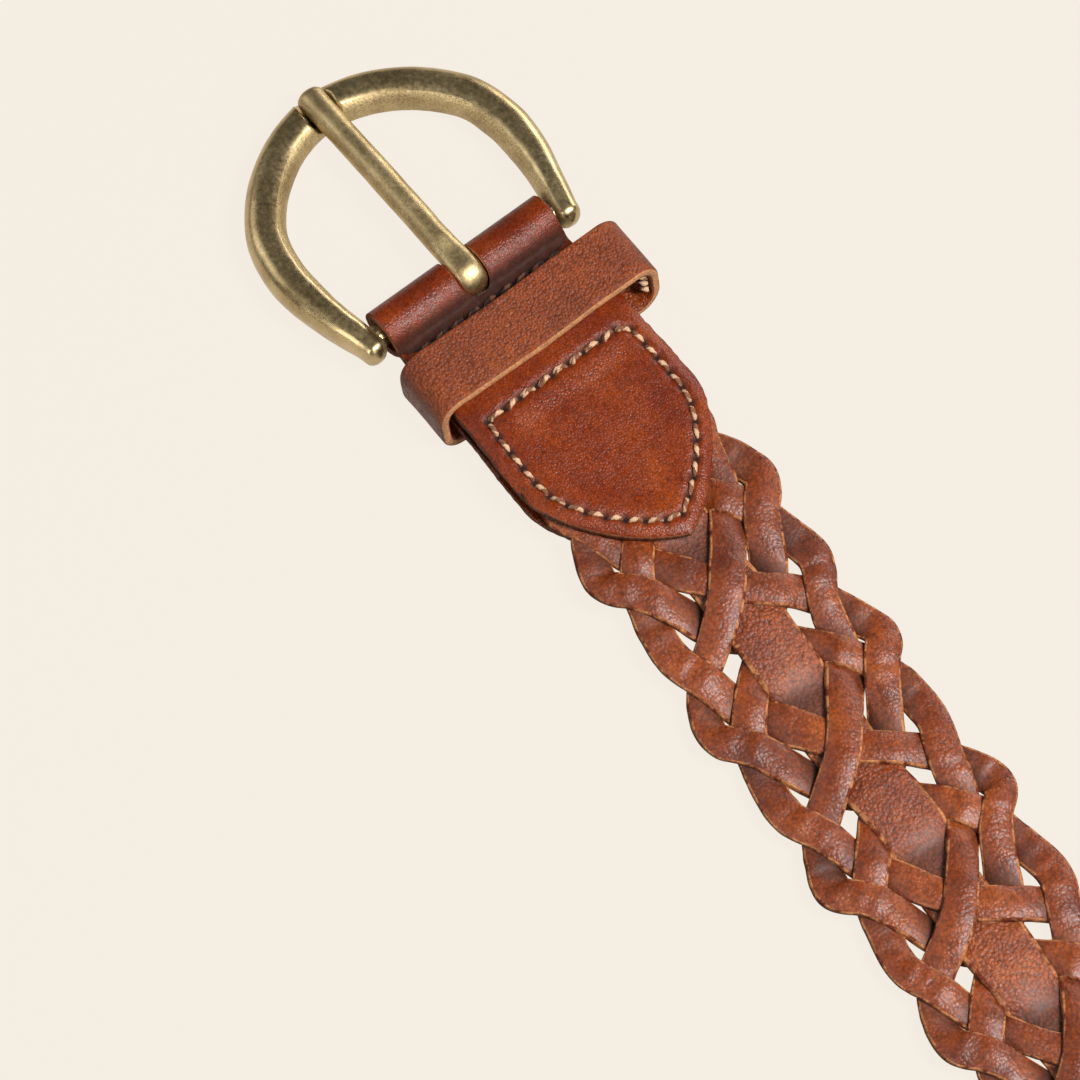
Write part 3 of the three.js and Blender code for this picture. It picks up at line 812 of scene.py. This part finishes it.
def build_chape():
    piece = cut_chape()
    mesh = piece.data
    points = np.array([vertex.co for vertex in mesh.vertices])
    raw = np.zeros(len(points))
    for face in mesh.polygons:
        if face.material_index > 0:
            raw[list(face.vertices)] = 1.0
    shaped = shape_chape(points, raw)
    x = points[:, 0]
    outer = np.abs(points[:, 2]) > FOLD_MIDDLE
    top = np.sign(points[:, 2])
    # Painted shade: darker in the valley behind the fold, along the crease line on the top face,
    # and round each stitch hole.
    painted_valley_shade = smoothstep(2.4, 4.4, x) * smoothstep(CREASE + 2.5, CREASE, x)
    dark = outer * np.maximum(0.8 * painted_valley_shade, 0.75 * bump_at(x, CREASE, 0.9) * (top > 0))
    for hole in np.vstack([SEAM_HOLES, CREASE_HOLES]):
        near = np.exp(-(np.linalg.norm(points[:, :2] - hole, axis=1) / HOLE_RADIUS) ** 3) * outer
        shaped[:, 2] -= top * HOLE_DEPTH * near
        # Painted shade in and round the stitch hole.
        dark = np.maximum(dark, near)
    mesh.vertices.foreach_set("co", ((shaped + ORIGIN) / 1000).ravel())
    mesh.polygons.foreach_set("use_smooth", np.full(len(mesh.polygons), True))
    paint_shade(piece, dark)
    mesh.update()
    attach(piece, "root")
    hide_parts("chape")


CORE_REACH = 8.0                   # how far the filler goes on under the braid
CORE_GAP = 0.08


def build_core():
    """The filler between the chape's layers, from behind the crease seam to the braid."""
    low, high = (1000 * np.array(corner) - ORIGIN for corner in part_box("chape_core"))
    sideways = np.linspace(low[1] + 0.8, high[1] - 0.8, 26)
    rings = []
    for x in np.linspace(low[0], high[0] + CORE_REACH, 26):
        upper = np.array([(x, y, FOLD_INNER) for y in sideways])
        face = shape_chape(upper) - [0, 0, CORE_GAP]
        back = shape_chape(upper * [1, 1, -1]) + [0, 0, CORE_GAP]
        rings.append(np.vstack([face, back[::-1]]))
    make_loft("chape_core_leather", np.stack(rings), [CHAPE_EDGE], "root", "chape_core")


def surface_height(plane, top):
    """The height of the chape's skin at places in the plane, on the upper or lower face."""
    points = np.column_stack([plane, np.full(len(plane), top * FOLD_OUTER)])
    return shape_chape(points)[:, 2]


# -------- thread

STITCH_STEPS = 15
STITCH_SIDES = 12
STITCH_INSET = 0.16                # how much of a stitch's length is left open at each hole
SKIN_LIFT = 0.12


def stitch_rings(start, end, radius, rise, dive, out, phase):
    """One stitch: a bowed spindle of two plies, diving into the leather at both ends."""
    t = np.linspace(0, 1, STITCH_STEPS)
    out = np.array(out)[None, :]
    bow = rise * np.sin(math.pi * t) - dive * (np.abs(2 * t - 1) ** 5)
    line = start + (end - start) * t[:, None] + out * bow[:, None]
    ahead = unit(np.gradient(line, axis=0))
    side = unit(np.cross(ahead, out))
    up = np.cross(side, ahead)
    width = radius * (0.72 + 0.28 * np.sin(math.pi * t))
    turn = np.linspace(0, 2 * math.pi, STITCH_SIDES, endpoint=False)
    twist = (phase + 2.3 * math.pi * t)[:, None]
    reach = width[:, None] * (0.88 + 0.3 * np.abs(np.cos(turn - twist)))
    rings = (line[:, None] + side[:, None] * (reach * np.cos(turn))[..., None]
             + up[:, None] * (reach * np.sin(turn))[..., None])
    second_ply = (turn + math.pi / STITCH_SIDES - twist[:-1]) % (2 * math.pi) >= math.pi
    return rings, [*second_ply.ravel(), 0, 0]


def build_stitches(name, body, stitches, node, plies=(CREAM_PLY, BROWN_PLY)):
    """All the stitches of one seam, as (start, end, radius, rise, dive, out)."""
    points, faces, colours = [], [], []
    for index, stitch in enumerate(stitches):
        rings, shades = stitch_rings(*stitch, 1.1 * index)
        faces += loft_faces(STITCH_STEPS, STITCH_SIDES, first=len(points))
        points += rings.reshape(-1, 3).tolist()
        colours += shades
    make_mesh(name, points, faces, plies, body, node, colours)


def seam_stitches(holes, hoop, top, radius=0.4, doubled=0):
    """Stitches from hole to hole of a seam, the first ones sewn over twice."""
    holes = np.column_stack([holes, surface_height(holes, top) + top * SKIN_LIFT])
    out = (0, 0, top)
    stitches = []
    for i in range(len(holes) if hoop else len(holes) - 1):
        start, end = holes[i], holes[(i + 1) % len(holes)]
        inset = STITCH_INSET * (end - start)
        start, end = start + inset, end - inset
        slant = 0.16 * unit(np.array([start[1] - end[1], end[0] - start[0], 0]))
        stitches.append((start - slant, end + slant, radius, 0.26, 0.9, out))
        if i < doubled:
            wander = np.array([0.45, 0.1, top * 0.25]) * (1 if i % 2 else -1)
            stitches.append((start - slant + wander, end - wander * 0.5, radius, 0.5, 0.6, out))
    return stitches


def build_threads():
    front = seam_stitches(SEAM_HOLES, True, 1, doubled=9)
    back = seam_stitches(SEAM_HOLES, True, -1)
    build_stitches("shield_stitches_front", "root", front, "shield_thread_front")
    build_stitches("shield_stitches_back", "root", back, "shield_thread_back")
    crease = seam_stitches(CREASE_HOLES, False, 1, 0.42)
    crease += seam_stitches(CREASE_HOLES, False, -1, 0.42)
    build_stitches("crease_stitches", "root", crease, "crease_thread", [DARK_PLY, BROWN_PLY])


# -------- strips of leather

# The section of a strip: across and through, from -1 to 1, and whether the side after it is raw.
SECTION = [(-0.92, 0.6, False), (-0.62, 0.95, False), (-0.3, 1.14, False), (0.0, 1.2, False),
           (0.3, 1.14, False), (0.62, 0.95, False), (0.92, 0.6, True), (1.0, 0.35, True),
           (1.01, -0.1, True), (1.0, -0.7, True), (0.95, -1.0, False), (0.35, -1.0, False),
           (-0.35, -1.0, False), (-0.95, -1.0, True), (-1.0, -0.7, True), (-1.01, -0.1, True),
           (-1.0, 0.35, True)]
ACROSS, THROUGH, RAW = (np.array(column) for column in zip(*SECTION))
BRAID_END = ROLL_ALONG + (ROLL_MIDDLE_RADIUS ** 2
                          - (ROLL_CORE + BRAID_HEIGHT) ** 2) / (2 * ROLL_SHRINK)


def strip_materials(count):
    """The leather's own skin on a strip's faces, and the raw edge on its sides and ends."""
    return [*np.tile(RAW, count - 1), 1, 1]


def repeated(strip, shift):
    """A strip's rows over the whole belt: along, across and height of its nodes."""
    first = math.floor((BRAID_START - BRAID_PHASE) / strip.repeat) - 2
    last = math.ceil((BRAID_END - BRAID_PHASE) / strip.repeat) + 2
    along = np.concatenate([strip.nodes[..., 0] + k * strip.repeat for k in range(first, last)])
    along = along + BRAID_PHASE + shift
    across = np.tile(strip.nodes[..., 1], (last - first, 1))
    height = np.tile(strip.height, (last - first, 1))
    middle = along[:, along.shape[1] // 2]
    kept = (middle > BRAID_START) & (middle < BRAID_END)
    return along[kept], across[kept], height[kept]


def on_section(places, rows):
    """Rows of values across a strip's width, at each point of its section."""
    target = np.clip(ACROSS, -1, 1)
    j = np.clip(np.searchsorted(places, target) - 1, 0, len(places) - 2)
    part = ((target - places[j]) / (places[j + 1] - places[j])).reshape(-1, *[1] * (rows.ndim - 2))
    return rows[:, j] * (1 - part) + rows[:, j + 1] * part


def loosened(along, across, height):
    """Tight under the shield, then drawn a little out of true like work done by hand."""
    place = np.stack([along, across * (0.87 + 0.13 * smoothstep(35, 46, along))], axis=-1)
    loose = smoothstep(62, 80, along)
    height = height * (0.66 + 0.34 * smoothstep(54, 69, along))
    along = along + 0.9 * loose * lattice_noise(place, 13.0, 81)
    across = place[..., 1] + 0.8 * loose * lattice_noise(place, 12.0, 82)
    return along, across, height


def build_strip(name, strip, shift, thickness, skin, node, seed):
    """One strip over the whole belt, crumpled at its turns, grained and frayed at its edges, with
    painted shade where it lies low.
    """
    along, across, height = loosened(*repeated(strip, shift))
    middle = along.shape[1] // 2
    nodes = on_belt(along, across, height)
    centre = nodes[:, middle]
    count = len(centre)
    side = unit(nodes[:, -1] - nodes[:, 0])
    normal = unit(np.cross(unit(np.gradient(centre, axis=0)), side))
    up = on_belt(along[:, middle], across[:, middle], height[:, middle] + 1) - centre
    normal *= np.sign(np.sum(normal * up, axis=1))[:, None]
    places = strip.offsets / (strip.width / 2)
    waver = 1 + 0.05 * lattice_noise(centre, 9.0, seed)
    waver += 0.025 * lattice_noise(centre, 2.0, seed + 1)
    base = on_section(places, nodes)
    rings = centre[:, None] + (base - centre[:, None]) * waver[:, None, None]
    rows = np.column_stack([np.arange(count), np.full(count, seed * 3.0)])
    ripple = 0.38 * wrinkles(across[:, middle], strip) * lattice_noise(rows, 1.3, seed)
    lift = THROUGH * thickness / 2 + ripple[:, None] * np.where(THROUGH > 0, 1, 0.4)
    rings += normal[:, None] * lift[..., None]
    grain = lattice_noise(rings, 2.6, seed + 5) * 0.07 + lattice_noise(rings, 1.0, seed + 6) * 0.04
    rings += normal[:, None] * grain[..., None]
    fray = ACROSS * (abs(ACROSS) > 0.85) * lattice_noise(rings, 0.8, seed + 7) * 0.13
    rings += side[:, None] * fray[..., None]
    piece = make_loft(name, rings, [skin, BRAID_EDGE], "root", node,
                      strip_materials(count))
    # Painted shade: the strip is darkened where it lies low, under the strands over it; on its back
    # face the heights count the other way, as seen from below.
    buried = on_section(places, height) * np.where(THROUGH > -0.5, 1, -1)
    paint_shade(piece, (0.85 * smoothstep(0.5, -1.5, buried)).ravel())
    smooth_once(piece)
    return piece


def wrinkles(across, strip):
    """Where a strand turns at the belt's edge its leather is crumpled."""
    if strip is middle_strap:
        return np.full(len(across), 0.35)
    return 0.25 + 0.75 * smoothstep(9.0, 14.5, np.abs(across))


def build_braid():
    for index in range(6):
        strand = f"strand_{index + 1}"
        build_strip(strand + "_leather", odd_strand if index % 2 else even_strand,
                    (index // 2) * BRAID_PERIOD, STRAND_THICKNESS, BRAID_SKIN, strand,
                    30 + 7 * index)
    strap = build_strip("centre_strap_leather", middle_strap, 0.0, STRAP_THICKNESS,
                        STRAP_SKIN, "centre_strap", 90)
    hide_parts("rolled_stretch")


# -------- the keeper

def keeper_line(width, height):
    """The middle line of the keeper's leather, round its four soft corners."""
    radius = KEEPER_CORNER - KEEPER_THICKNESS / 2
    reach = width / 2 - KEEPER_CORNER
    rise = height / 2 - KEEPER_CORNER
    corners = []
    for quarter, (right, up) in enumerate(((1, -1), (1, 1), (-1, 1), (-1, -1))):
        for turn in np.radians(np.linspace(-90, 0, 14) + 90 * quarter):
            corners.append((right * reach + radius * math.cos(turn),
                            up * rise + radius * math.sin(turn)))
    line = evenly(np.array(corners), 0.5, True)
    for _ in range(3):
        back, front = neighbours(line)
        line = (back + 2 * line + front) / 4
    return line


def keeper_section():
    """Along, through and whether the point is on a raw edge, round the keeper's leather."""
    section = [(part, 1.0, False) for part in np.linspace(-0.93, 0.93, 22)]
    section += [(0.965, 0.8, True), (1.0, 0.25, True), (1.0, -0.7, True)]
    section += [(part, -1.0, False) for part in np.linspace(0.95, -0.95, 12)]
    section += [(-1.0, -0.7, True), (-1.0, 0.25, True), (-0.965, 0.8, True)]
    return (np.array(column) for column in zip(*section))


def build_keeper():
    """A flat loop of pebbled leather, leaning with the belt, its ends joined inside."""
    low, high = (1000 * np.array(corner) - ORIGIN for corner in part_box("keeper_loop"))
    middle = (low + high) / 2
    _, width, height = high - low
    length = high[0] - low[0] - KEEPER_LEAN * height
    line = keeper_line(width, height)
    count = len(line)
    back, front = neighbours(line)
    ahead = unit(front - back)
    out = np.column_stack([np.zeros(count), ahead[:, 1], -ahead[:, 0]])
    along, through, raw = keeper_section()
    rings = np.zeros((count, len(along), 3))
    rings[..., 0] = along * length / 2
    rings[..., 1:] = line[:, None]
    rings += middle + out[:, None] * (through * KEEPER_THICKNESS / 2)[:, None]
    sag = -0.45 * bump_at(line[:, 0], 0, 11.0) * (line[:, 1] > 0)
    rings[..., 2] += sag[:, None]
    rings[..., 0] += lattice_noise(rings[:, :1], 6.0, 61) * 0.12
    bulge = lattice_noise(rings, 7.0, 62) * 0.09 + lattice_noise(rings, 1.4, 63) * 0.035
    away = np.where(out[:, 2:] < -0.9, 0, out)
    rings += away[:, None] * bulge[..., None]
    rings[..., 0] += KEEPER_LEAN * (middle[2] - rings[..., 2])
    piece = make_loft("keeper_leather", rings, [KEEPER_SKIN, RAW_EDGE], "keeper", "keeper_loop",
                      np.tile(raw & np.roll(raw, -1), count), hoop=True)
    paint_shade(piece)
    smooth_once(piece)
    build_keeper_stitches(middle, width / 2 - KEEPER_THICKNESS - 0.5)


def build_keeper_stitches(middle, wall):
    """The crossed stitches that join the keeper's ends inside its right wall."""
    stitches = []
    for row, x in enumerate(np.arange(-4.6, 4.0, 1.9)):
        for lift in (-1.6, 0.2, 1.9):
            start = middle + [x - 0.14 * lift, wall - 0.35 * (row % 2), lift]
            end = start + [2.1, -0.2, 0.7 - 0.5 * (row % 3)]
            stitches.append((start, end, 0.5, 0.3, 0.4, (0, -1, 0)))
    build_stitches("keeper_stitches", "keeper", stitches, "keeper_thread")


# -------- the tail tip

def in_roll(turn, radius, across):
    """A point of the roll from its angle round the core, its radius and distance across."""
    return turned(np.array(ROLL_ALONG), radius * np.sin(turn), across,
                  ROLL_RADIUS - radius * np.cos(turn))


TIP_HALF_WIDTH = 16.5
TIP_TURN_START = math.radians(-18)
TIP_TURN_END = math.radians(215)
TIP_THICKNESS = 1.8
TIP_BACK_RADIUS = 13.5
TIP_FRONT_RADIUS = 11.4
TIP_SEAM_RADIUS = 9.5


def tip_half_width(turn, inset=0.0):
    """Half the tip's width at an angle: straight, then closing to a rounded point."""
    share = (turn - TIP_TURN_START) / (TIP_TURN_END - TIP_TURN_START)
    close = np.sqrt(np.clip(1 - smoothstep(0.62, 1.0, share) ** 1.5, 0, 1))
    return np.maximum(TIP_HALF_WIDTH * close - inset, 0.6)


def build_tip_layer(name, outer, node):
    turns = np.linspace(TIP_TURN_START, TIP_TURN_END, 110)
    half = tip_half_width(turns)
    middle = outer - TIP_THICKNESS / 2
    rings = in_roll(turns[:, None], middle - THROUGH * TIP_THICKNESS / 2.3, half[:, None] * ACROSS)
    piece = make_loft(name, rings, [CHAPE_SKIN, CHAPE_EDGE], "root", node,
                      strip_materials(len(rings)))
    paint_shade(piece)
    smooth_once(piece)


def build_tip():
    build_tip_layer("tip_back_leather", TIP_BACK_RADIUS, "tip_back")
    build_tip_layer("tip_front_leather", TIP_FRONT_RADIUS, "tip_front")
    stitches = []
    turns = np.linspace(TIP_TURN_START + 0.15, TIP_TURN_END - 0.3, 14)
    half = tip_half_width(turns, 3.0)
    for side in (-1, 1):
        places = in_roll(turns, TIP_SEAM_RADIUS, side * half)
        inward = unit(in_roll(turns, 0.0, side * half) - places)
        for start, end, out in zip(places, places[1:], inward):
            stitches.append((start, end, 0.45, 0.15, 0.35, out))
    build_stitches("tip_stitches", "root", stitches, "tip_thread")


build_chape()
build_core()
build_threads()
build_braid()
build_keeper()
build_tip()


# -------- floor, light and camera

def pale_floor():
    nodes = Nodes("floor_paper")
    paper = nodes.surface(Base_Color=(0.02, 0.019, 0.018, 1), Roughness=1.0,
                          Specular_IOR_Level=0.0, Emission_Color=linear(245, 237, 226),
                          Emission_Strength=0.97)
    bpy.ops.mesh.primitive_plane_add(size=6.0, location=(0, 0, -0.0003))
    floor = bpy.context.active_object
    floor.name = "floor"
    floor.data.materials.append(paper)
    floor.visible_diffuse = False


# Right and down in the picture, as directions on the table.
VIEW_TURN = math.radians(51.8)
PICTURE_RIGHT = Vector((math.cos(VIEW_TURN), math.sin(VIEW_TURN), 0))
PICTURE_DOWN = Vector((math.sin(VIEW_TURN), -math.cos(VIEW_TURN), 0))
CAMERA_RISE = math.radians(67)
CAMERA_REACH = 1.2
VIEW_WIDTH = 0.1764
SENSOR = 36
AIM = (0.0125, 0.0477)
LIGHT_REACH = 1.1

# Softboxes: direction from the aim as right, down and up, then size and power.
LIGHTS = {"key": ((0.46, 0.18, 0.87), (0.34, 0.34), 16.5),
          "tail_fill": ((0.5, 0.75, 0.5), (0.5, 0.5), 2),
          "left_fill": ((-0.75, -0.3, 0.55), (0.5, 0.7), 2.2),
          "left_glow": ((-0.6, 0.55, 0.5), (0.4, 0.8), 5),
          "right_glow": ((0.5, -0.8, 0.24), (0.7, 0.4), 5)}
GLOSS_ONLY = ("left_glow", "right_glow")


def place_camera():
    bar = (bar_low + bar_high) / 2
    aim = bar + PICTURE_RIGHT * AIM[0] + PICTURE_DOWN * AIM[1]
    away = PICTURE_DOWN * math.cos(CAMERA_RISE) + Vector((0, 0, math.sin(CAMERA_RISE)))
    data = bpy.data.cameras.new("view")
    data.sensor_width = SENSOR
    data.lens = SENSOR * CAMERA_REACH / VIEW_WIDTH
    data.clip_end = 20
    camera = new_object("view", data)
    camera.location = aim + away * CAMERA_REACH
    camera.rotation_euler = away.to_track_quat("Z", "Y").to_euler()
    bpy.context.scene.camera = camera
    return aim


def add_light(name, aim, direction, size, power):
    """A softbox that faces the aim."""
    right, down, rise = direction
    toward = (PICTURE_RIGHT * right + PICTURE_DOWN * down + Vector((0, 0, rise))).normalized()
    data = bpy.data.lights.new(name, "AREA")
    data.shape = "RECTANGLE"
    data.size, data.size_y = size
    data.energy = power
    light = new_object(name, data)
    light.location = aim + toward * LIGHT_REACH
    light.rotation_euler = toward.to_track_quat("Z", "Y").to_euler()
    light.visible_diffuse = name not in GLOSS_ONLY


def light_studio(aim):
    world = bpy.data.worlds.new("studio")
    world.use_nodes = True
    sky = world.node_tree.nodes["Background"]
    sky.inputs["Color"].default_value = (1.0, 0.98, 0.95, 1)
    sky.inputs["Strength"].default_value = 0.1
    bpy.context.scene.world = world
    for name, (direction, size, power) in LIGHTS.items():
        add_light(name, aim, direction, size, power)
    bpy.context.scene.view_settings.view_transform = "Standard"


pale_floor()
light_studio(place_camera())
